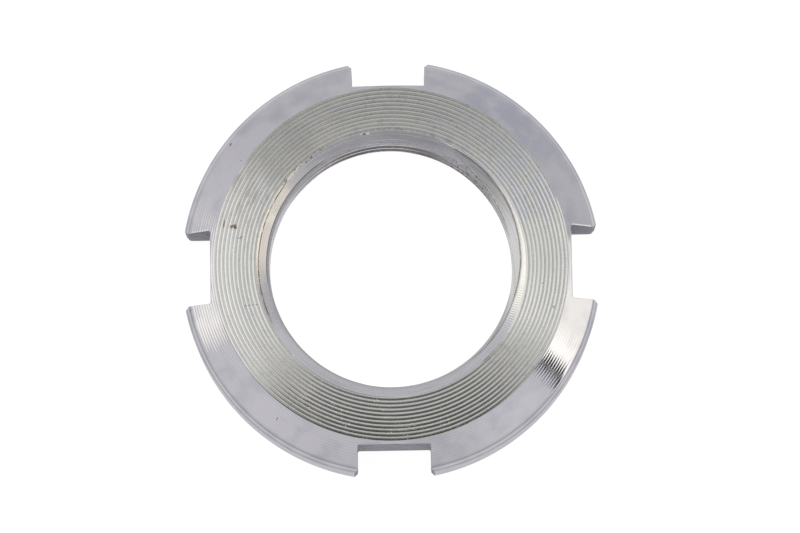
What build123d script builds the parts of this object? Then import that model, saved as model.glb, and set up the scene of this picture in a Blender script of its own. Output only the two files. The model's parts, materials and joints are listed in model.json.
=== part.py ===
"""Slotted lock nut that holds a rolling bearing on its shaft.

The real nut is one piece, turned from steel bar: a threaded ring with a
grooved front face, a wide front bevel and four spanner slots milled through
its rim. The rear face, which presses on the bearing, lies on Z = 0. The
screw axis is the Z axis and the front face looks along +Z.
"""

import os
from math import radians, sqrt, tan

from build123d import *

# Ring, in millimetres
outer_diameter = 35.0
thickness = 6.2

# Front bevel, the break between it and the rim, and the rear edge
bevel_width = 2.7
bevel_angle = 41.0
edge_break_width = 0.4
edge_break_angle = 54.0
rear_edge_chamfer = 0.3

# Bore with its internal metric thread, cut as far as the thread's crests. At both faces a shallow lead-in
# cone opens it, and a narrow steeper band breaks the edge between cone and thread.
thread_diameter = 22.0
thread_pitch = 1.5
crest_share = 1.0825
lead_in_margin = 0.15
lead_in_angle = 38.0
lead_in_edge_width = 0.17
lead_in_edge_angle = 58.0

# Spanner slots
slot_count = 4
slot_width = 6.1
slot_depth = 2.5
slot_corner_radius = 0.15
slot_mouth_chamfer = 0.35

# Turning grooves on the front face
groove_pitch = 0.33
groove_width = 0.13
groove_depth = 0.05

# Radii and heights that follow from those sizes
rim_radius = outer_diameter / 2
face_radius = rim_radius - bevel_width
break_radius = rim_radius - edge_break_width
break_height = thickness - (bevel_width - edge_break_width) * tan(radians(bevel_angle))
rim_height = break_height - edge_break_width * tan(radians(edge_break_angle))
bore_radius = (thread_diameter - crest_share * thread_pitch) / 2
lead_in_radius = thread_diameter / 2 + lead_in_margin
lead_in_edge_radius = bore_radius + lead_in_edge_width
lead_in_depth = (lead_in_radius - lead_in_edge_radius) * tan(radians(lead_in_angle))
thread_start = lead_in_depth + lead_in_edge_width * tan(radians(lead_in_edge_angle))
slot_floor_radius = rim_radius - slot_depth
slot_mouth_start = sqrt(rim_radius**2 - (slot_width / 2) ** 2) - slot_mouth_chamfer
slot_mouth_flare = rim_radius - slot_mouth_start
face_land_width = face_radius - lead_in_radius
groove_count = int(face_land_width / groove_pitch)

os.makedirs("parts", exist_ok=True)

# One spanner slot seen along the axis, open outwards along +X
with BuildSketch() as slot_outline:
    with BuildLine():
        Polyline(
            (slot_floor_radius, -slot_width / 2),
            (slot_mouth_start, -slot_width / 2),
            (rim_radius, -slot_width / 2 - slot_mouth_flare),
            (rim_radius, slot_width / 2 + slot_mouth_flare),
            (slot_mouth_start, slot_width / 2),
            (slot_floor_radius, slot_width / 2),
            close=True,
        )
    make_face()
    fillet(slot_outline.vertices().group_by(Axis.X)[0], slot_corner_radius)

# Lock nut: turned ring, then its face grooves, then its slots
with BuildPart() as lock_nut:
    with BuildSketch(Plane.XZ):
        with BuildLine():
            Polyline(
                (bore_radius, thread_start),
                (lead_in_edge_radius, lead_in_depth),
                (lead_in_radius, 0),
                (rim_radius - rear_edge_chamfer, 0),
                (rim_radius, rear_edge_chamfer),
                (rim_radius, rim_height),
                (break_radius, break_height),
                (face_radius, thickness),
                (lead_in_radius, thickness),
                (lead_in_edge_radius, thickness - lead_in_depth),
                (bore_radius, thickness - thread_start),
                close=True,
            )
        make_face()
    revolve(axis=Axis.Z)
    with BuildSketch(Plane.XZ):
        with Locations((lead_in_radius + face_land_width / 2, thickness)):
            with GridLocations(groove_pitch, 0, groove_count, 1):
                Polygon(
                    (-groove_width / 2, 0),
                    (0, -groove_depth),
                    (groove_width / 2, 0),
                    (0, groove_depth),
                    align=None,
                )
    revolve(axis=Axis.Z, mode=Mode.SUBTRACT)
    with BuildSketch():
        with PolarLocations(0, slot_count):
            add(slot_outline.sketch)
    extrude(amount=thickness, mode=Mode.SUBTRACT)

lock_nut.part.label = "lock_nut"
export_step(lock_nut.part, "parts/lock_nut.step")
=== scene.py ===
import json
from math import atan2, cos, pi, radians, sin, sqrt, tan

import bmesh
import bpy
import numpy as np
from mathutils import Matrix, Vector


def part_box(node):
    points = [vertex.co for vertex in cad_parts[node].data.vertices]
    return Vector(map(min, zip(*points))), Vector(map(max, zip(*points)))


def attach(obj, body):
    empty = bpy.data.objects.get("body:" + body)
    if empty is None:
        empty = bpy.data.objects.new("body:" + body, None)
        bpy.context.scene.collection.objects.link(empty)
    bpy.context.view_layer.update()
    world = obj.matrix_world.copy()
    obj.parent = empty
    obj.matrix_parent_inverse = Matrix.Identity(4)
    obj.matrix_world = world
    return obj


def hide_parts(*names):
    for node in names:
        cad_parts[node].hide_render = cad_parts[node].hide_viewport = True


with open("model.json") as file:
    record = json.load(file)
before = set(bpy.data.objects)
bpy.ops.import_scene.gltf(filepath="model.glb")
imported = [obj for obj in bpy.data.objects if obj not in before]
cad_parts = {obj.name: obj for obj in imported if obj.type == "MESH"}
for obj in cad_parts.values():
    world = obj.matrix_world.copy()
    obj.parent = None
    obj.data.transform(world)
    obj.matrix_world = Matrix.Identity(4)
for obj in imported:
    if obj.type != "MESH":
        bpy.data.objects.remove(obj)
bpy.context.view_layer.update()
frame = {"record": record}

# Lock nut: the turned blank
# The nut is one piece of bright carbon steel, turned from bar. Lathe work gives it the face, bevel, rim and
# bore, all round the screw axis, and every surface below is a patch of one skin over that solid.
MM = 0.001
low_corner, high_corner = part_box("lock_nut")
thickness = (high_corner.z - low_corner.z) / MM
BEVEL_WIDTH = 2.7
BEVEL_ANGLE = 41
BREAK_WIDTH = 0.4
BREAK_ANGLE = 54
rim_radius = 17.5
face_radius = rim_radius - BEVEL_WIDTH
break_radius = rim_radius - BREAK_WIDTH
bevel_slope = tan(radians(BEVEL_ANGLE))
break_slope = tan(radians(BREAK_ANGLE))
break_height = thickness - (break_radius - face_radius) * bevel_slope
rim_height = break_height - (rim_radius - break_radius) * break_slope
rear_chamfer = 0.3

patches = []


def patch(points, finish, joined=False, shift=0, grime=0.0):
    """Keeps a grid of points, (rows, columns, 3) in millimetres, as one surface of the nut.

    joined closes it round the axis; there, row r of the last column meets row r + shift of the first one.
    """
    patches.append((points, finish, joined, shift, np.broadcast_to(grime, points.shape[:2])))


def at(radius, angle, height):
    """Points from cylindrical coordinates."""
    radius, angle, height = np.broadcast_arrays(radius, angle, height)
    return np.stack([radius * np.cos(angle), radius * np.sin(angle), height], axis=-1)


class Field:
    """A number, vector or colour that varies over the metal: a node's socket that takes part in sums."""

    def __init__(self, tree, socket=None):
        self.tree = tree
        self.socket = socket

    def node(self, kind, settings=None, sockets=None, output=0):
        """Adds a node: its settings go in first, then the values or links of its sockets."""
        made = self.tree.nodes.new(kind)
        for name, value in (settings or {}).items():
            setattr(made, name, value)
        for name, value in (sockets or {}).items():
            if isinstance(value, Field):
                self.tree.links.new(value.socket, made.inputs[name])
            else:
                made.inputs[name].default_value = value
        return Field(self.tree, made.outputs[output] if made.outputs else None)

    def maths(self, operation, *values):
        return self.node("ShaderNodeMath", {"operation": operation}, dict(enumerate((self, *values))))

    def __add__(self, other):
        return self.maths("ADD", other)

    def __radd__(self, other):
        return self.maths("ADD", other)

    def __sub__(self, other):
        return self.maths("SUBTRACT", other)

    def __rsub__(self, other):
        return self.node("ShaderNodeMath", {"operation": "SUBTRACT"}, {0: other, 1: self})

    def __mul__(self, other):
        return self.maths("MULTIPLY", other)

    def __rmul__(self, other):
        return self.maths("MULTIPLY", other)

    def __truediv__(self, other):
        return self.maths("DIVIDE", other)

    def __pow__(self, other):
        return self.maths("POWER", other)

    def __mod__(self, other):
        return self.maths("FLOORED_MODULO", other)

    def __abs__(self):
        return self.maths("ABSOLUTE")

    def axis(self, name):
        """One coordinate of a vector."""
        return self.node("ShaderNodeSeparateXYZ", sockets={"Vector": self}, output="XYZ".index(name))

    def rise(self, low, high):
        """Goes smoothly from 0 at low to 1 at high, which may be the lower of the two."""
        if low > high:
            return 1 - self.rise(high, low)
        sockets = {"Value": self, "From Min": low, "From Max": high}
        return self.node("ShaderNodeMapRange", {"interpolation_type": "SMOOTHSTEP"}, sockets)

    def within(self, middle, half, soft):
        """1 within half of the middle, falling to 0 over the soft edge."""
        return abs(self - middle).rise(half + soft, half)

    def mixed(self, share, colour):
        """This colour with a share of another one laid over it."""
        other = colour if isinstance(colour, Field) else (*colour, 1)
        return self.node("ShaderNodeMix", {"data_type": "RGBA"}, {"Factor": share, 6: self, 7: other}, 2)

    def cloud(self, scale, detail=3.0):
        """Random mottling from 0 to 1 at these places, with that many patches to the unit."""
        return self.node("ShaderNodeTexNoise", sockets={"Vector": self, "Scale": scale, "Detail": detail})

    def marks(self, scale, detail=4.0):
        """Random lines from 0 to 1, square to this coordinate."""
        sockets = {"W": self, "Scale": scale, "Detail": detail}
        return self.node("ShaderNodeTexNoise", {"noise_dimensions": "1D"}, sockets)


class Finish:
    """One finish of the steel: its material, and the places on the nut in millimetres and radians."""

    def __init__(self, name):
        self.material = bpy.data.materials.new(name)
        self.material.use_nodes = True
        self.tree = self.material.node_tree
        self.shader = self.tree.nodes["Principled BSDF"]
        self.shader.inputs["Metallic"].default_value = 1.0
        where = Field(self.tree).node("ShaderNodeTexCoord", output=3)
        self.place = where.node("ShaderNodeVectorMath", {"operation": "SCALE"}, {0: where, "Scale": 1 / MM})
        self.x = self.place.axis("X")
        self.y = self.place.axis("Y")
        self.z = self.place.axis("Z")
        self.radius = (self.x * self.x + self.y * self.y) ** 0.5
        self.angle = self.y.maths("ARCTAN2", self.x) % (2 * pi)
        # Mottling at these places is drawn out round the axis, as it is on turned metal
        sockets = {"X": self.x * 2 / self.radius, "Y": self.y * 2 / self.radius, "Z": self.radius + self.z}
        self.around = self.node("ShaderNodeCombineXYZ", sockets=sockets)
        self.grime = self.node("ShaderNodeAttribute", {"attribute_name": "grime"}, output=2)

    def node(self, *words, **settings):
        return Field(self.tree).node(*words, **settings)

    def colour(self, red, green, blue):
        return self.node("ShaderNodeCombineXYZ", sockets={"X": red, "Y": green, "Z": blue})

    def spot(self, x, y, half_length, half_width, turn, ragged=0.5):
        """1 on a ragged oval mark at that place, with its length turned by some degrees from X."""
        east = self.x - x
        north = self.y - y
        along = (east * cos(radians(turn)) + north * sin(radians(turn))) / half_length
        across = (north * cos(radians(turn)) - east * sin(radians(turn))) / half_width
        away = (along * along + across * across) ** 0.5 + (self.place.cloud(6.0) - 0.5) * ragged * 2
        return away.rise(1.2, 0.6)

    def sector(self, middle, half, fade):
        """1 in a sector round the axis. Its middle, half its angle and its fading edge are in degrees."""
        turned = (self.angle + pi - radians(middle)) % (2 * pi)
        return turned.within(pi, radians(half), radians(fade))

    def arc(self, radius, half_width, start, end, fade=4.0):
        """1 on a line round the axis at that radius, between two angles in degrees."""
        span = self.sector((start + end) / 2, (end - start) / 2, fade)
        return self.radius.within(radius, 0, half_width) * span

    def give(self, colour, roughness, relief, depth, dirt_and_shade=None):
        """Puts the colour, the roughness and a relief of that depth in millimetres on the metal."""
        sockets = {"Strength": 1.0, "Distance": depth * MM, "Height": relief}
        bump = self.node("ShaderNodeBump", sockets=sockets)
        links = {"Base Color": colour, "Roughness": roughness, "Normal": bump}
        if dirt_and_shade:
            links["Metallic"] = 1 - dirt_and_shade
        for name, field in links.items():
            self.tree.links.new(field.socket, self.shader.inputs[name])


finishes = {}


# Spanner slots: their outline
# Four slots are milled through the rim for a hook spanner or a lock washer's tab. Their walls are parallel,
# their mouths are chamfered and the cutter left a small radius in their corners.
SLOTS = 4
SLOT_WIDTH = 6.1
SLOT_DEPTH = 2.5
MOUTH_CHAMFER = 0.35
slot_half = SLOT_WIDTH / 2
slot_floor = rim_radius - SLOT_DEPTH
slot_corner = 0.15
mouth_start = sqrt(rim_radius**2 - slot_half**2) - MOUTH_CHAMFER
edge_radius = 0.06


def wall_angle(radius):
    """Angle from a slot's middle to its wall, at a radius outside the slot's corner."""
    straight = np.arcsin(slot_half / radius)
    # Line of the chamfered mouth: y = x + slot_half - mouth_start
    step = mouth_start - slot_half
    flared = np.pi / 4 - np.arcsin(step / sqrt(2) / radius)
    return np.where(radius**2 < mouth_start**2 + slot_half**2, straight, flared)


def slot_distance(x, y):
    """Distance from the nearest slot's outline, inside the steel."""
    turn = np.pi / 2 * np.round(np.arctan2(y, x) / (np.pi / 2))
    u = x * np.cos(turn) + y * np.sin(turn)
    v = np.abs(y * np.cos(turn) - x * np.sin(turn))
    across = np.maximum(v - slot_half + slot_corner, 0)
    inwards = np.maximum(slot_floor + slot_corner - u, 0)
    body = np.hypot(across, inwards) - slot_corner
    mouth = (v - slot_half - (u - mouth_start)) / sqrt(2)
    return np.maximum(np.where(u > mouth_start, mouth, body), 0)


def worn_edge(points, side):
    """Drops the skin where it runs over a slot's edge, as a deburred edge does."""
    distance = slot_distance(points[..., 0], points[..., 1])
    inside = np.clip(edge_radius - distance, 0, edge_radius)
    points[..., 2] -= side * (edge_radius - np.sqrt(edge_radius**2 - inside**2))
    return points


# Columns of the skin round one quarter: slot floor with its two corners, then a tooth
CORNER_STEPS = 5
FLOOR_STEPS = 15
TOOTH_STEPS = 72
corner_end = atan2(slot_half, slot_floor + slot_corner)
corner_radius = sqrt((slot_floor + slot_corner) ** 2 + slot_half**2)
corner_steps = np.radians(np.linspace(0, 90, CORNER_STEPS))
corner_x = slot_floor + slot_corner * (1 - np.cos(corner_steps))
corner_y = slot_half - slot_corner * (1 - np.sin(corner_steps))
floor_y = np.linspace(-slot_half + slot_corner, slot_half - slot_corner, FLOOR_STEPS)[1:-1]
outline_x = np.concatenate([corner_x[::-1], np.full(floor_y.size, slot_floor), corner_x])
outline_y = np.concatenate([-corner_y[::-1], floor_y, corner_y])
slot_columns = np.arctan2(outline_y, outline_x)
slot_reach = np.hypot(outline_x, outline_y)
near_wall = np.array([0, 0.0015, 0.0035, 0.008])
tooth_share = np.concatenate([near_wall, np.linspace(0.018, 0.982, TOOTH_STEPS), 1 - near_wall[::-1]])
tooth_columns = corner_end + tooth_share * (np.pi / 2 - 2 * corner_end)
quarter = np.concatenate([slot_columns, tooth_columns[1:-1]])
reach = np.concatenate([slot_reach, np.full(tooth_columns.size - 2, corner_radius)])
quarters = np.arange(SLOTS) * np.pi / 2
columns = (quarters[:, None] + quarter[None, :]).ravel()
reaches = np.tile(reach, SLOTS)


# Front face
# The face was cut with a coarse feed, which left one spiral of shallow saw-toothed grooves. From each
# groove's bottom the metal swells inwards to a ridge, drops by a short step and runs on as a flatter land.
# The grooves are worn down at three rubbed places.
FEED = 0.33
GROOVE_DEPTH = 0.046
SPIRAL_EXIT = radians(200)
bore_edge = 11.15
groove_lines = np.array([0.0, 0.15, 0.30, 0.46, 0.50, 0.75])
groove_cut = np.array([1.0, 0.57, 0.24, 0.0, 0.65, 0.82])
# x, y, half width and share of the groove's depth that is left, at each rubbed place
RUBBED = ((0.76, -13.82, 0.9, 0.45), (-7.39, -10.97, 0.6, 0.45), (13.0, 0.5, 6.5, 0.3))
# Towards the bore the grooves grow shallower: radii, and the share of the depth at them
SHALLOW_RADII = (11.3, 12.9)
SHALLOW_SHARES = (0.8, 1)


def groove_depth(x, y):
    """Depth of the face's grooves at a place."""
    depth = np.full(np.shape(x), GROOVE_DEPTH)
    for cx, cy, half, left in RUBBED:
        nearness = np.exp(-((x - cx) ** 2 + (y - cy) ** 2) / half**2)
        depth *= 1 - (1 - left) * nearness
    return depth * np.interp(np.hypot(x, y), SHALLOW_RADII, SHALLOW_SHARES)


turns = int((face_radius - bore_edge) / FEED) + 2
steps = (np.arange(-1, turns)[:, None] + groove_lines[None, :]).ravel()
cut = np.tile(groove_cut, turns + 1)[:, None]
spiral = face_radius - FEED * (steps[:, None] + (columns[None, :] - SPIRAL_EXIT) / (2 * np.pi))
radii = np.clip(spiral, bore_edge, face_radius)
face = at(radii, columns[None, :], thickness)
whole = (radii > bore_edge) & (radii < face_radius)
face[..., 2] -= groove_depth(face[..., 0], face[..., 1]) * cut * whole
patch(face, "turned_face", joined=True, shift=groove_lines.size)

finish = finishes["turned_face"] = Finish("turned_face")
tint = finish.colour(0.60, 0.595, 0.575)
# A faint bluish film lies in patches, most of it at the upper right
blue = finish.around.cloud(0.8).rise(0.48, 0.66) * 0.35
blue = blue.maths("MAXIMUM", finish.sector(32, 10, 16) * 0.45)
tint = tint.mixed(blue * finish.place.cloud(0.8).rise(0.35, 0.60), (0.53, 0.565, 0.64))
tint = tint.mixed(finish.place.cloud(2.5, 5.0).rise(0.5, 0.75) * 0.5, (0.42, 0.42, 0.40))
# Painted light makes the metal paler at the bottom, the right and the left, and painted shade lies along
# the grooves' bottoms
in_groove = ((face_radius - finish.radius) / FEED + (SPIRAL_EXIT - finish.angle) / (2 * pi)) % 1
bottom = abs(in_groove - 0.5).rise(0.34, 0.5)
at_bottom = finish.sector(268, 34, 14)
tint = tint.mixed(at_bottom * finish.radius.rise(14.3, 13.3) * 0.5, (0.68, 0.675, 0.65))
at_right = finish.sector(-8, 12, 16)
tint = tint.mixed(at_right * (0.42 + finish.radius.rise(13.0, 12.0) * 0.25), (0.76, 0.755, 0.72))
at_left = finish.sector(188, 26, 14) * finish.radius.rise(12.6, 13.6)
tint = tint.mixed(at_left * 0.5, (0.70, 0.695, 0.67))
# The painted shade in the grooves' bottoms is patchy, strongest at the bottom and near the top, weaker by the
# bore and at the right
groove_shade = 0.45 + finish.sector(95, 25, 25) * 0.15
groove_shade = groove_shade + at_bottom * (0.45 + finish.radius.rise(12.5, 13.8) * 0.3)
groove_shade = groove_shade * (1 - finish.radius.rise(12.8, 11.6) * 0.5)
groove_shade = groove_shade * (1 - at_right * 0.6)
tint = tint.mixed(bottom * finish.around.cloud(3.0).rise(0.2, 0.5) * groove_shade, (0.07, 0.065, 0.06))
fleck = finish.place.cloud(7.0, 2.0).rise(0.70, 0.76)
tint = tint.mixed(fleck * 0.5, (0.15, 0.15, 0.15))
# Old dirt and dried oil in the grooves at the upper left, and nicked lands at the bottom
stained = finish.sector(135, 20, 16)
dirt_and_shade = stained * finish.around.cloud(3.5, 5.0).rise(0.50, 0.62)
tint = tint.mixed(dirt_and_shade * 0.25, (0.28, 0.27, 0.24))
cream = stained * finish.around.cloud(4.5, 4.0).rise(0.56, 0.68)
tint = tint.mixed(cream * 0.25, (0.76, 0.72, 0.63))
tint = tint.mixed(finish.sector(133, 7, 9) * 0.5, (0.40, 0.395, 0.375))
nicked = finish.sector(262, 24, 10) * finish.place.cloud(0.7).rise(0.42, 0.58)
nicks = nicked * finish.place.cloud(5.0, 4.0).rise(0.60, 0.70)
tint = tint.mixed(nicks * 0.8, (0.80, 0.78, 0.70))
rust = finish.spot(-13.80, 3.52, 0.34, 0.05, 82)
for x, y, half_length, half_width, turn in (
    (-13.14, 3.31, 0.12, 0.09, 0),
    (-12.88, 3.22, 0.14, 0.12, -20),
    (-12.99, 3.39, 0.20, 0.05, 10),
    (-12.37, 2.42, 0.14, 0.04, 35),
    (-12.48, 2.32, 0.05, 0.10, 0),
):
    rust = rust.maths("MAXIMUM", finish.spot(x, y, half_length, half_width, turn, ragged=0.8))
halo = finish.spot(-13.00, 3.26, 0.42, 0.26, 0, ragged=0.7)
tint = tint.mixed(halo * 0.35, (0.22, 0.19, 0.16))
tint = tint.mixed(rust * 0.85, (0.20, 0.075, 0.02))
# A scratch in four dashes, a dent at the face's edge and two dull spots
dark = finish.spot(-12.12, -3.34, 0.12, 0.025, 3, ragged=0.3)
for x, y, half_length, half_width, turn in (
    (-11.82, -3.32, 0.09, 0.022, 3),
    (-11.52, -3.30, 0.10, 0.025, 3),
    (-11.18, -3.27, 0.08, 0.028, 3),
    (6.00, -13.40, 0.15, 0.10, 20),
    (5.27, -13.67, 0.22, 0.03, 24),
):
    dark = dark.maths("MAXIMUM", finish.spot(x, y, half_length, half_width, turn, ragged=0.3))
dark = dark.maths("MAXIMUM", finish.spot(13.36, -3.91, 0.14, 0.07, 75) * 0.6)
dark = dark.maths("MAXIMUM", finish.spot(12.50, -1.89, 0.08, 0.06, 90) * 0.5)
tint = tint.mixed(dark * 0.75, (0.07, 0.065, 0.06))
# The metal beside the bore's rusty edge is worn bright, with brown specks at the upper left and dirt on top
worn = finish.arc(bore_edge, 0.17, 134, 184, fade=8.0)
tint = tint.mixed(worn * finish.around.cloud(2.0).rise(0.25, 0.5) * 0.6, (0.76, 0.73, 0.67))
edge_dirt = finish.arc(bore_edge, 0.40, 62, 100, fade=10.0) * finish.place.cloud(2.5).rise(0.35, 0.65)
tint = tint.mixed(edge_dirt * 0.4, (0.26, 0.24, 0.24))
specks = finish.arc(bore_edge + 0.06, 0.20, 120, 140) * finish.place.cloud(4.0).rise(0.56, 0.62)
tint = tint.mixed(specks * 0.8, (0.20, 0.12, 0.06))
sheen = 0.19 + (finish.place.cloud(1.5) - 0.5) * 0.12 + dark * 0.3 + rust * 0.35 + dirt_and_shade * 0.2
relief = finish.radius.marks(16.0) + finish.place.cloud(11.0, 4.0) * 0.8 - dark * 2 + rust + nicks * 1.5
finish.give(tint, sheen, relief, 0.0035)


# Bevel, edge break and rim
# The bevel was turned with a finer feed, which left close, shallow rings. Its outer edge is broken by a
# narrow steeper band that lies between two tool lines, and below it the rim is a plain turn.
BEVEL_FEED = 0.2125
BEVEL_DEPTH = 0.004
ring_lines = np.array([0.0, 0.20, 0.45, 0.70, 0.85])
ring_cut = np.array([1.0, 0.9, 0.55, 0.0, 0.5])
RINGS = 11
RING_GAP = 0.02
BREAK_GAP = 0.08
TOOL_LINES = (break_radius, rim_radius - 0.13)
TOOL_LINE_WIDTH = 0.05
TOOL_LINE_DEPTH = 0.02


def bevel_height(radius):
    """Height of the bevel and the edge break at a radius, with their rings and tool lines."""
    height = np.where(
        radius < break_radius,
        thickness - (radius - face_radius) * bevel_slope,
        break_height - (radius - break_radius) * break_slope,
    )
    share = (radius - face_radius) / BEVEL_FEED % 1
    rings = np.interp(share, np.append(ring_lines, 1), np.append(ring_cut, 1))
    height = height - BEVEL_DEPTH * rings * (radius < break_radius)
    for line in TOOL_LINES:
        height = height - TOOL_LINE_DEPTH * np.exp(-(((radius - line) / TOOL_LINE_WIDTH) ** 2))
    return height


def tooth_grid(line_radii):
    """Radii and angles of a tooth's columns, from wall to wall, at these radii."""
    wall = wall_angle(line_radii)
    angle = wall[:, None] + tooth_share[None, :] * (np.pi / 2 - 2 * wall[:, None])
    return np.broadcast_to(line_radii[:, None], angle.shape), angle


# One line where each ring's slope turns, and closer ones where the edge break and its tool lines need them
ring_radii = (face_radius + BEVEL_FEED * (np.arange(RINGS)[:, None] + ring_lines)).ravel()
inner_radii = np.append(ring_radii[ring_radii < corner_radius - RING_GAP], corner_radius)
inner_share = ((inner_radii - face_radius) / (corner_radius - face_radius))[:, None]
inner_bevel = face_radius + inner_share * (reaches[None, :] - face_radius)
inner = at(inner_bevel, columns[None, :], bevel_height(inner_bevel))
inner[0, :, 2] = thickness
patch(worn_edge(inner, 1), "turned_bevel", joined=True)

bevel_lines = ring_radii[ring_radii > corner_radius + RING_GAP]
bevel_lines = bevel_lines[bevel_lines < break_radius - BREAK_GAP]
break_steps = np.array([-0.05, -0.02, 0, 0.02, 0.055, 0.12, 0.19, 0.24, 0.27, 0.30, 0.35, 0.4])
break_lines = break_steps + break_radius
tooth_lines = np.concatenate([[corner_radius], bevel_lines, break_lines])
RIM_ROWS = 9
rim_steps = np.linspace(0, 1, RIM_ROWS)
tooth_radius, tooth_angle = tooth_grid(tooth_lines)
for turn in quarters:
    top = at(tooth_radius, tooth_angle + turn, bevel_height(tooth_radius))
    top[-1, :, 2] = rim_height
    patch(worn_edge(top, 1), "turned_bevel")
    edge_high = top[-1, :, 2]
    rim = edge_high[None, :] + rim_steps[:, None] * (rear_chamfer - edge_high)[None, :]
    patch(at(rim_radius, tooth_angle[-1][None, :] + turn, rim), "turned_rim")


def bevel_steel(name, along, painted_shade, dullness):
    """The bevel's and the rim's finish: faintly lavender, with broad dull patches and fine turned lines."""
    finish = finishes[name] = Finish(name)
    tint = finish.colour(0.475 * painted_shade, 0.465 * painted_shade, 0.500 * painted_shade)
    tint = tint.mixed(finish.place.cloud(0.45, 4.0).rise(0.40, 0.70) * 0.75, (0.38, 0.375, 0.42))
    tint = tint.mixed(finish.around.cloud(1.6, 5.0).rise(0.55, 0.8) * 0.35, (0.36, 0.355, 0.38))
    blue = finish.sector(52, 8, 16) * finish.place.cloud(0.5).rise(0.35, 0.60)
    tint = tint.mixed(blue * 0.8, (0.37, 0.38, 0.45))
    # The dark lines along the edge break and the outer tool line, darker at the lower left, are painted shade
    # in those grooves; the spots are marks in the metal
    dark = finish.arc(break_radius + 0.01, 0.045, 0, 360) * 0.6
    dark = dark.maths("MAXIMUM", finish.arc(TOOL_LINES[1], 0.04, 0, 360) * 0.6)
    dark = dark.maths("MAXIMUM", finish.arc(break_radius + 0.01, 0.08, 191, 208) * 0.4)
    for x, y, half_length, half_width, turn in (
        (-13.24, 10.52, 0.14, 0.09, 60),
        (-12.34, 8.88, 0.07, 0.04, 45),
        (-9.63, -12.70, 0.16, 0.035, 60),
        (-16.76, -3.41, 0.16, 0.07, 75),
    ):
        dark = dark.maths("MAXIMUM", finish.spot(x, y, half_length, half_width, turn))
    tint = tint.mixed(dark * 0.85, (0.10, 0.095, 0.10))
    relief = along(finish).marks(14.0) + finish.place.cloud(9.0) * 0.5 - dark * 1.5
    sheen = dullness + (finish.place.cloud(1.1) - 0.5) * 0.06 + dark * 0.3
    sheen = sheen + finish.sector(54, 32, 14) * 0.11
    finish.give(tint, sheen, relief, 0.0012)


bevel_steel("turned_bevel", lambda finish: finish.radius, 1.0, 0.06)
# The rim is the same steel as the bevel, painted darker here as painted shade
bevel_steel("turned_rim", lambda finish: finish.z, 0.65, 0.34)


# Rear face
# The rear face presses on the bearing, so it was faced fine and flat. The rim's rear edge has a small
# chamfer, and the bore's rear edge has a lead-in like the front one.
REAR_FEED = 0.5
REAR_DEPTH = 0.006
REAR_STEPS = 15
REAR_TOOTH_STEPS = 8
rear_share = np.linspace(0, 1, REAR_STEPS)[:, None]
rear_radius = bore_edge + rear_share * (reaches[None, :] - bore_edge)


def rear_height(radius):
    """Height of the rear face at a radius, with its faint rings and its outer chamfer."""
    rings = 0.5 - 0.5 * np.cos(2 * np.pi * (radius - bore_edge) / REAR_FEED)
    flat = REAR_DEPTH * rings * (radius < rim_radius - rear_chamfer - 0.01)
    return np.maximum(radius - (rim_radius - rear_chamfer), flat)


rear = at(rear_radius, columns[None, :], rear_height(rear_radius))
rear[0, :, 2] = 0
patch(worn_edge(rear, -1), "rear_face", joined=True)
rear_lines = np.linspace(corner_radius, rim_radius - rear_chamfer, REAR_TOOTH_STEPS)
rear_lines = np.append(rear_lines, rim_radius)
rear_tooth_radius, rear_tooth_angle = tooth_grid(rear_lines)
for turn in quarters:
    low = at(rear_tooth_radius, rear_tooth_angle + turn, rear_height(rear_tooth_radius))
    low = worn_edge(low, -1)
    low[-1, :, 2] = rear_chamfer
    patch(low, "rear_face")

finish = finishes["rear_face"] = Finish("rear_face")
tint = finish.colour(0.55, 0.55, 0.54)
tint = tint.mixed(finish.around.cloud(0.9).rise(0.45, 0.7) * 0.5, (0.50, 0.52, 0.54))
tint = tint.mixed(finish.place.cloud(2.5, 5.0).rise(0.5, 0.75) * 0.5, (0.42, 0.42, 0.40))
sheen = 0.24 + (finish.place.cloud(1.5) - 0.5) * 0.14
relief = finish.radius.marks(9.0) + finish.place.cloud(11.0, 4.0) * 0.4
finish.give(tint, sheen, relief, 0.006)


# Spanner slots: their walls and floors
# The milled surfaces are duller than the turned ones: grey, with fine cutter lines and a few dark specks.
# A wall's foot has only the rear face's lines, so each of its top lines runs down to the nearest of them.
# Dirt has gathered in the top eighth of the walls and floors.
TOP_DIRT = 1 / 8
nearest = np.argmin(np.abs(tooth_lines[:, None] - rear_lines[None, :]), axis=1)
top_dirt = np.clip(1 - rim_steps / TOP_DIRT, 0, 1)[:, None]
for turn in quarters:
    for side in (0, -1):
        angle = tooth_angle[:, side] + turn
        top = worn_edge(at(tooth_lines, angle, bevel_height(tooth_lines)), 1)
        top[-1, 2] = rim_height - edge_radius
        foot_angle = rear_tooth_angle[nearest, side] + turn
        foot = worn_edge(at(rear_lines[nearest], foot_angle, rear_height(rear_lines[nearest])), -1)
        foot[nearest == rear_lines.size - 1, 2] = rear_chamfer
        wall = top[None] + rim_steps[:, None, None] * (foot - top)[None]
        patch(wall, "milled_slot", grime=top_dirt)
    floor_angle = slot_columns + turn
    top = worn_edge(at(slot_reach, floor_angle, bevel_height(slot_reach)), 1)[:, 2]
    foot = worn_edge(at(slot_reach, floor_angle, rear_height(slot_reach)), -1)[:, 2]
    floor = top[None, :] + rim_steps[:, None] * (foot - top)[None, :]
    patch(at(slot_reach[None, :], floor_angle[None, :], floor), "milled_slot", grime=top_dirt)

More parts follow.
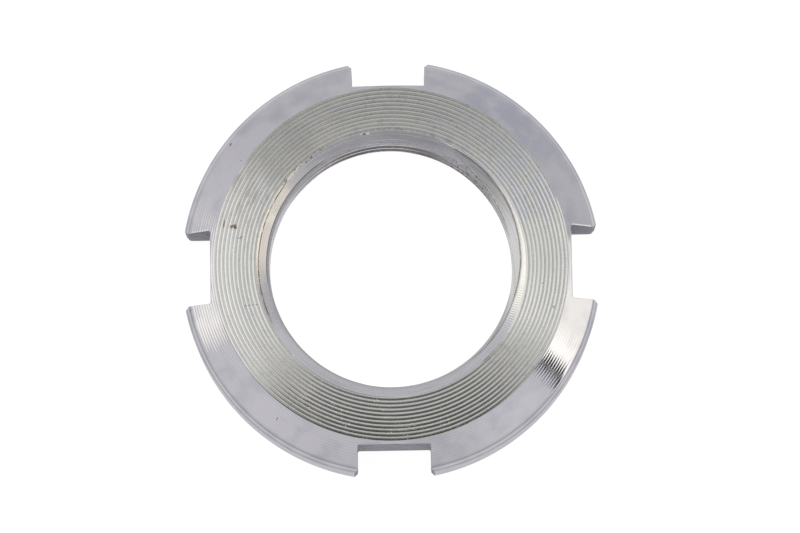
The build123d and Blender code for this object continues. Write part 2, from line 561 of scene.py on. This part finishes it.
finish = finishes["milled_slot"] = Finish("milled_slot")
tint = finish.colour(0.225, 0.226, 0.262)
tint = tint.mixed(finish.place.cloud(1.4, 5.0).rise(0.40, 0.65) * 0.6, (0.15, 0.15, 0.18))
tint = tint.mixed(finish.place.cloud(5.0, 2.0).rise(0.60, 0.68) * 0.8, (0.02, 0.018, 0.018))
tint = tint.mixed(finish.grime * finish.place.cloud(2.0).rise(0.25, 0.5) * 0.8, (0.02, 0.016, 0.014))
sheen = 0.58 + (finish.place.cloud(2.5) - 0.5) * 0.20
relief = finish.z.marks(8.0) + finish.place.cloud(8.0, 4.0)
finish.give(tint, sheen, relief, 0.008)


# Threaded bore
# A right-hand metric thread of 22 mm and 1.5 mm pitch, with sixty-degree flanks and flat crests that carry a
# small burr. A shallow lead-in cone opens it at both faces, and a steeper band breaks the cone's inner edge.
# The thread's first turn runs out in the cone.
PITCH = 1.5
root_radius = 11.0
CREST_BURR = 0.06
crest_radius = frame["record"]["mounts"][0]["dims"]["r_mm"] - CREST_BURR
LEAD_IN_ANGLE = 38
LEAD_EDGE_ANGLE = 58
FLANK_ANGLE = 60
lead_in_slope = tan(radians(LEAD_IN_ANGLE))
lead_edge_slope = tan(radians(LEAD_EDGE_ANGLE))
flank_slope = tan(radians(FLANK_ANGLE / 2))
lead_edge_radius = 10.358
lead_edge_depth = (bore_edge - lead_edge_radius) * lead_in_slope
START_ZONE = 1.1
THREAD_PHASE = radians(175)
groove_half = PITCH / 16
flank_share = np.array([0, 0.35, 0.93, 1])
flank_lines = groove_half + flank_share * (root_radius - crest_radius) * flank_slope
crest_share = np.array([1 / 3, 2 / 3])
turn_rows = 1 + 2 * flank_lines.size + crest_share.size
grooves = np.arange(-2, int(thickness / PITCH) + 3)
# The thread starts steeply: how far its groove is lifted, by the depth below the face that it would have
START_DEPTH = (0.0, 0.50, 0.68, 0.7425, 0.805, 0.8675, 0.93, 0.9925, 1.1175, 1.305)
START_LIFT = (0.70, 0.70, 0.63, 0.53, 0.43, 0.32, 0.263, 0.11, 0.04, 0.0)
# Painted shade lies on the line where the first turn meets the cone, mostly at the right, and in a band at
# the foot of its lower flank; dirt lies on the crests, mostly at the upper right
SHADE_LINE = 0.24
SHADE_BAND = 0.10
CREST_DIRT = 0.05
# The edge between the thread and the lead-in is rounded within this difference of their radii
ROUNDING = 0.06
SNAP = 0.02


def groove_height(groove, angle):
    """Height of the middle of the thread's groove on its turn of that number."""
    helix = PITCH * (groove + (angle - THREAD_PHASE) / (2 * np.pi))
    return helix + np.interp(thickness - helix, START_DEPTH, START_LIFT)


def towards(angle, middle, start, full):
    """Goes from 0 to 1 as the angle nears a middle in degrees, by the cosine of what lies between."""
    return np.clip((np.cos(angle - radians(middle)) - start) / (full - start), 0, 1)


def bore_surface(height, angle):
    """Radius of the thread, or of the lead-in where that is wider, and the painted shade and dirt that lie
    there.
    """
    height, angle = np.broadcast_arrays(height, angle)
    above_each = np.array([height - groove_height(groove, angle) for groove in grooves])
    nearest_groove = np.argmin(np.abs(above_each), axis=0)[None]
    above = np.take_along_axis(above_each, nearest_groove, axis=0)[0]
    flank = root_radius - (np.abs(above) - groove_half) / flank_slope
    thread = np.clip(flank, crest_radius, root_radius)
    depth = np.minimum(height, thickness - height)
    cone = bore_edge - depth / lead_in_slope
    lead_in = np.maximum(cone, lead_edge_radius - (depth - lead_edge_depth) / lead_edge_slope)
    spread = SHADE_LINE * (1 + 0.5 * towards(angle, 8, 0.88, 0.96))
    line = np.exp(-(((thread - lead_in) / spread) ** 2)) * (above > 0)
    line = line * np.maximum(towards(angle, -4, 0.6, 0.8), 0.25)
    band = np.clip((SHADE_BAND + groove_half + above) / SHADE_BAND, 0, 1) * (above < 0) * (thread > lead_in)
    crest = np.clip(1 - (thread - crest_radius) / CREST_DIRT, 0, 1) * (thread > lead_in)
    crest = crest * np.clip(towards(angle, 48, 0.8, 0.95), 0.05, 0.7)
    rounding = np.clip(ROUNDING - np.abs(thread - lead_in), 0, None) ** 2 / (4 * ROUNDING)
    return np.maximum(thread, lead_in) + rounding, np.maximum(np.maximum(line, band), crest)


turn_angle = columns[None, :]
CONE_ROWS = 17
EDGE_ROWS = 13
cone_rows = np.linspace(0, lead_edge_depth, CONE_ROWS)
edge_rows = np.linspace(lead_edge_depth, START_ZONE, EDGE_ROWS)
start_rows = np.concatenate([cone_rows, edge_rows[1:]])
for level in (start_rows[::2, None], thickness - start_rows[:, None]):
    radius, grime = bore_surface(level, turn_angle)
    patch(at(radius, turn_angle, level), "thread", joined=True, grime=grime)

thread_rows = []
for groove in grooves[:-1]:
    below = groove_height(groove, turn_angle)
    above = groove_height(groove + 1, turn_angle)
    crest_low = below + flank_lines[-1]
    crest_high = above - flank_lines[-1]
    thread_rows.extend(below + rise for rise in (0, *flank_lines))
    thread_rows.extend(crest_low + share * (crest_high - crest_low) for share in crest_share)
    thread_rows.extend(above - rise for rise in flank_lines[::-1])
helix = np.clip(np.concatenate(thread_rows), START_ZONE, thickness - START_ZONE)
# Rows that end up close to the level ones run along them, so that no sliver is left between
for border in (START_ZONE, thickness - START_ZONE):
    helix = np.where(np.abs(helix - border) < SNAP, border, helix)
radius, grime = bore_surface(helix, turn_angle)
patch(at(radius, turn_angle, helix), "thread", joined=True, shift=turn_rows, grime=grime)

finish = finishes["thread"] = Finish("thread")
CHATTER_MARKS = 327
tint = finish.colour(0.545, 0.54, 0.58)
tint = tint.mixed(finish.around.cloud(1.2, 5.0).rise(0.45, 0.75) * 0.5, (0.42, 0.415, 0.43))
on_cone = (finish.radius + (thickness - finish.z) / lead_in_slope).within(bore_edge, 0.03, 0.03)
# Painted light and shade round the lead-in cone: paler at the right and near 151 degrees, warmer round 161,
# greyer near 134
tint = tint.mixed(finish.sector(161, 18, 12) * on_cone * 0.8, (0.535, 0.50, 0.455))
tint = tint.mixed(finish.sector(151, 6, 6) * on_cone * 0.6, (0.70, 0.66, 0.60))
tint = tint.mixed(finish.sector(134, 5, 7) * on_cone * 0.4, (0.42, 0.41, 0.42))
tint = tint.mixed(finish.sector(8, 26, 14) * on_cone * 0.6, (0.69, 0.675, 0.645))
# The cone's edge at the left is worn bright and rusty, with a dark line at its foot and brown specks above
worn = finish.arc(bore_edge - 0.08, 0.12, 134, 184, fade=8.0)
tint = tint.mixed(worn * 0.7, (0.78, 0.73, 0.65))
edge_rust = finish.arc(bore_edge - 0.15, 0.085, 146, 202, fade=6.0)
edge_rust = edge_rust * finish.around.cloud(9.0).rise(0.36, 0.48)
tint = tint.mixed(edge_rust, (0.13, 0.075, 0.025))
inner_line = finish.arc(lead_edge_radius - 0.02, 0.06, 128, 182, fade=10.0)
tint = tint.mixed(inner_line * 0.85, (0.10, 0.08, 0.08))
specks = finish.arc(bore_edge - 0.06, 0.16, 121, 141) * finish.place.cloud(4.0).rise(0.54, 0.60)
tint = tint.mixed(specks * 0.8, (0.12, 0.07, 0.03))
# A knock left two bright chips at the top of the bore
chips = finish.spot(-1.75, 10.93, 0.14, 0.09, 0).maths("MAXIMUM", finish.spot(-2.32, 10.92, 0.12, 0.08, 0))
tint = tint.mixed(chips * 0.9, (0.95, 0.95, 0.93))
tint = tint.mixed(finish.spot(-2.05, 10.90, 0.09, 0.10, 70) * 0.8, (0.10, 0.09, 0.09))
# Painted highlights beside the crests, greyer at the right, painted light on the threads at the top, rust and
# the tool's lines
crest_highlights = finish.arc(10.30, 0.05, 54, 60).maths("MAXIMUM", finish.arc(10.25, 0.05, 97, 102))
crest_highlights = crest_highlights.maths("MAXIMUM", finish.arc(10.46, 0.03, 84, 95))
tint = tint.mixed(crest_highlights * 0.8, (0.80, 0.84, 0.92))
tint = tint.mixed((1 - on_cone) * finish.x.rise(6.0, 9.0) * 0.8, (0.495, 0.50, 0.485))
top = finish.sector(90, 28, 14) * finish.z.rise(5.25, 5.10)
tint = tint.mixed(top * 0.6, (0.80, 0.74, 0.77))
crest_rust = finish.arc(10.20, 0.15, 38, 58, fade=6.0)
crest_rust = crest_rust.maths("MAXIMUM", finish.arc(10.15, 0.07, 62, 122) * 0.8)
tint = tint.mixed(crest_rust * finish.place.cloud(4.5).rise(0.46, 0.60) * 0.7, (0.16, 0.105, 0.085))
drawn = finish.z.marks(9.0, 3.0).rise(0.50, 0.62) * (1 - on_cone)
tint = tint.mixed(drawn * 0.5, (0.33, 0.32, 0.35))
# Painted shade on the first turn's line and at the lower flanks' feet, and dirt on the crests, darken the
# steel and make it less metallic
dirt_and_shade = finish.grime * (0.55 + finish.around.cloud(7.0, 4.0).rise(0.30, 0.55) * 0.45)
tint = tint.mixed(dirt_and_shade, (0.17, 0.14, 0.13))
chatter = (finish.angle * CHATTER_MARKS).maths("SINE") * 0.5 + 0.5
strong = finish.sector(333, 12, 16) * 0.7 + 0.3
chattered = finish.sector(268, 80, 8) * strong * on_cone * chatter
tint = tint.mixed(chattered * 0.45, (0.30, 0.29, 0.30))
sheen = 0.20 + (finish.place.cloud(1.8) - 0.5) * 0.12 + finish.grime * 0.25
relief = finish.z.marks(12.0) + finish.place.cloud(9.0) * 0.4 + chattered * 1.2
finish.give(tint, sheen, relief, 0.003, dirt_and_shade * 0.8)


# The skin
# All patches meet edge to edge and are welded there, so the nut is one closed solid, as the real one is.
WELD = 0.0008 * MM
SHARP_ANGLE = radians(14)


def grid_faces(rows, count, joined, shift):
    """Corner numbers of the faces between a grid's points. joined and shift are those of patch."""
    row, column = np.meshgrid(np.arange(rows - 1), np.arange(count - 1), indexing="ij")
    corner = (row * count + column).ravel()
    faces = [np.stack([corner, corner + 1, corner + count + 1, corner + count], axis=1)]
    if joined:
        row = np.arange(rows - 1)
        first = np.minimum(row + shift, rows - 1) * count
        second = np.minimum(row + 1 + shift, rows - 1) * count
        last = row * count + count - 1
        faces.append(np.stack([last, first, second, last + count], axis=1))
    return np.concatenate(faces)


faces = []
face_finishes = []
total = 0
for grid, name, joined, shift, grime in patches:
    made = grid_faces(grid.shape[0], grid.shape[1], joined, shift)
    faces.append(made + total)
    face_finishes.append(np.full(len(made), list(finishes).index(name)))
    total += grid.shape[0] * grid.shape[1]
points = np.concatenate([grid.reshape(-1, 3) for grid, *_ in patches])
skin = bpy.data.meshes.new("lock_nut_skin")
skin.from_pydata(points * MM, [], np.concatenate(faces).tolist())
skin.polygons.foreach_set("material_index", np.concatenate(face_finishes))
grime_and_shade_layer = skin.attributes.new("grime", "FLOAT", "POINT")
grime_and_shade_layer.data.foreach_set("value", np.concatenate([grime.ravel() for *_, grime in patches]))
for finish in finishes.values():
    skin.materials.append(finish.material)

work = bmesh.new()
work.from_mesh(skin)
bmesh.ops.remove_doubles(work, verts=work.verts, dist=WELD)
bmesh.ops.dissolve_degenerate(work, dist=WELD, edges=work.edges)
bmesh.ops.recalc_face_normals(work, faces=work.faces)
work.to_mesh(skin)
work.free()
skin.shade_smooth()
skin.set_sharp_from_angle(angle=SHARP_ANGLE)
nut = bpy.data.objects.new("lock_nut_steel", skin)
bpy.context.scene.collection.objects.link(nut)
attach(nut, "root")
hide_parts("lock_nut")


# Table, light and camera
# A white table under a soft studio tent. The table glows to the camera and in reflections, so that it shows
# white, and the nut's faint shadow is nearly lost in that glow. What the metal reflects of the table is
# painted dimmer far away, and inside the bore it carries a painted shadow of the nut.
TABLE_SIZE = 3.0
TABLE_PAINT = 0.20
TABLE_GLOW = 0.94
GLOW_START = 30
GLOW_END = 56
GLOW_FAR = 0.82
BORE_GLOW = 0.66
BORE_SHADE_START = 10.2
BORE_SHADE_FULL = 8.5
half = TABLE_SIZE / 2
table_mesh = bpy.data.meshes.new("table")
corners = [(-half, -half, 0), (half, -half, 0), (half, half, 0), (-half, half, 0)]
table_mesh.from_pydata(corners, [], [(0, 1, 2, 3)])
table = bpy.data.objects.new("table", table_mesh)
bpy.context.scene.collection.objects.link(table)
paint = bpy.data.materials.new("white_table")
paint.use_nodes = True
paint.node_tree.nodes.clear()
table_nodes = Field(paint.node_tree)
seen = table_nodes.node("ShaderNodeLightPath", output="Is Camera Ray")
for ray in ("Is Glossy Ray", "Is Transmission Ray"):
    seen = seen.maths("MAXIMUM", table_nodes.node("ShaderNodeLightPath", output=ray))
grey = (TABLE_PAINT, TABLE_PAINT, TABLE_PAINT, 1)
paper = table_nodes.node("ShaderNodeBsdfDiffuse", sockets={"Color": grey})
ground = table_nodes.node("ShaderNodeTexCoord", output=3)
away = (ground.axis("X") * ground.axis("X") + ground.axis("Y") * ground.axis("Y")) ** 0.5 / MM
white = table_nodes.node("ShaderNodeCombineXYZ", sockets={"X": 1.0, "Y": 1.0, "Z": 1.0})
reflected = table_nodes.node("ShaderNodeLightPath", output="Is Glossy Ray")
painted_shade = white.mixed(reflected * away.rise(GLOW_START, GLOW_END), (GLOW_FAR, GLOW_FAR, GLOW_FAR))
# Painted shadow of the nut on the table inside its bore, seen only in reflections
in_bore = reflected * away.rise(BORE_SHADE_START, BORE_SHADE_FULL)
painted_shade = painted_shade.mixed(in_bore, (BORE_GLOW, BORE_GLOW, BORE_GLOW))
glow = table_nodes.node("ShaderNodeEmission", sockets={"Color": painted_shade, "Strength": seen * TABLE_GLOW})
both = table_nodes.node("ShaderNodeAddShader", sockets={0: paper, 1: glow})
table_nodes.node("ShaderNodeOutputMaterial", {"is_active_output": True}, {"Surface": both})
table_mesh.materials.append(paint)

# The tent, by the direction it is seen in: bright panels low at both sides, a dark strip above where the
# camera stands, and a dark card beside the right-hand panel.
world = bpy.data.worlds.new("studio")
bpy.context.scene.world = world
world.use_nodes = True
world.node_tree.nodes.clear()
tent_nodes = Field(world.node_tree)
direction = tent_nodes.node("ShaderNodeTexCoord")
x = direction.axis("X")
y = direction.axis("Y")
z = direction.axis("Z")
across = abs(x)
rising = z.maths("ARCSINE") * (180 / pi)
turn_right = y.maths("ARCTAN2", x) * (180 / pi)
turn_left = y.maths("ARCTAN2", x * -1) * (180 / pi)

# Overhead: a grey strip between two bright sides, a panel in front and the dark place of the camera
centre = 0.42 + y.rise(-0.05, 0.33) * 0.28
sides = 1.20 + x.rise(-0.25, -0.55) * 0.08 - x.rise(0.25, 0.55) * 0.03
sides = sides * (0.5 + y.rise(0.70, 0.22) * 0.5) - x.rise(0.25, 0.50) * y.rise(0.15, 0.45) * 0.15
open_side = across.rise(0.10, 0.21)
upper = centre * (1 - open_side) + sides * open_side
front = y.rise(-0.10, -0.50)
front_panel = 0.46 + x * 0.14 + across.rise(0.60, 0.95) * 0.50
front_panel = front_panel + x.rise(-0.20, -0.42) * z.rise(0.42, 0.52) * 0.20
upper = upper * (1 - front) + front_panel * front
camera_shade = x.rise(-0.50, -0.22) * x.rise(0.65, 0.30) * y.rise(-0.02, -0.25) * y.rise(-0.84, -0.74)
upper = upper * (1 - camera_shade) + camera_shade * 0.15

# Low down: the cloth behind and in front, a bright panel at each side and a dark card
back = 0.88 + x.rise(0.10, 0.40) * (z - 0.05) * 0.9 - x.rise(0.05, 0.40) * 0.11
back = back + x.rise(0.60, 0.90) * 0.11 + x.rise(-0.45, -0.95) * 0.19
front_low = 0.95 - x * 0.05 + across.rise(0.25, 0.90) * 0.14 + x.rise(0.30, 0.65) * 0.11
front_low = front_low * (0.74 + z * 1.2)
horizon = back * (1 - front) + front_low * front
low = z.rise(0.55, 0.30) * (1 - front) + z.rise(0.37, 0.31) * front
# In degrees: where the panels' edges stand, and how far they lean for each degree of height
RIGHT_EDGE = -34.8
RIGHT_LEAN = 1.05
LEFT_EDGE = -20
LEFT_EDGE_HEIGHT = 11.7
LEFT_LEAN = 1.6
slant = turn_right - RIGHT_EDGE - rising * RIGHT_LEAN
right_panel = slant.rise(0, 0.8) * turn_right.rise(17, 13)
right_panel = right_panel * (rising + turn_right.rise(2, 12) * 2).within(6, 7, 1)
right_lamp = slant.rise(13, 4)
left_end = turn_left - LEFT_EDGE + (rising - LEFT_EDGE_HEIGHT) * LEFT_LEAN
left_panel = left_end.rise(0, 3) * turn_left.rise(33, 27) * rising.rise(5.2, 6.0) * rising.rise(20, 15)
dark_card = slant.within(-2.5, 2.5, 0.5) * rising.rise(5, 7) * rising.rise(20, 17)
level = upper * (1 - low) + horizon * low
level = level * (1 - rising.within(13, 2.5, 1.5) * turn_right.within(22, 8, 10) * 0.48)
level = level * (1 - x.within(-0.15, 0.20, 0.15) * y.rise(-0.70, -0.85) * z.within(0.40, 0.04, 0.03) * 0.18)
level = level + right_panel * (0.85 + right_lamp * 0.4) + left_panel * 0.80
level = level * (1 - dark_card * 0.95)
warmth = (right_panel + left_panel).maths("MINIMUM", 1)
tent_cloth = tent_nodes.node("ShaderNodeCombineXYZ", sockets={"X": 1.0, "Y": 1.0, "Z": 1.0})
light = tent_cloth.mixed(warmth, (1.0, 0.98, 0.88))
shining = tent_nodes.node("ShaderNodeBackground", sockets={"Color": light, "Strength": level})
tent_nodes.node("ShaderNodeOutputWorld", {"is_active_output": True}, {"Surface": shining})

# Camera of the photograph, from the fit to its outlines
VIEW_LEAN = 8.19
VIEW_TURN = -0.99
VIEW_DISTANCE = 0.350
VIEW_AIM = Vector((0.74, -0.28, thickness - 0.04)) * MM
PHOTO_WIDTH = 800
LENS_PIXELS = 4225.8
lens = bpy.data.cameras.new("camera")
lens.sensor_width = 36
lens.lens = LENS_PIXELS / PHOTO_WIDTH * lens.sensor_width
lens.clip_start = 0.01
camera = bpy.data.objects.new("camera", lens)
camera.matrix_world = (
    Matrix.Rotation(radians(VIEW_TURN), 4, "Z")
    @ Matrix.Translation(VIEW_AIM)
    @ Matrix.Rotation(radians(VIEW_LEAN), 4, "X")
    @ Matrix.Translation((0, 0, VIEW_DISTANCE))
)
bpy.context.scene.collection.objects.link(camera)
bpy.context.scene.camera = camera
bpy.context.scene.view_settings.view_transform = "Standard"
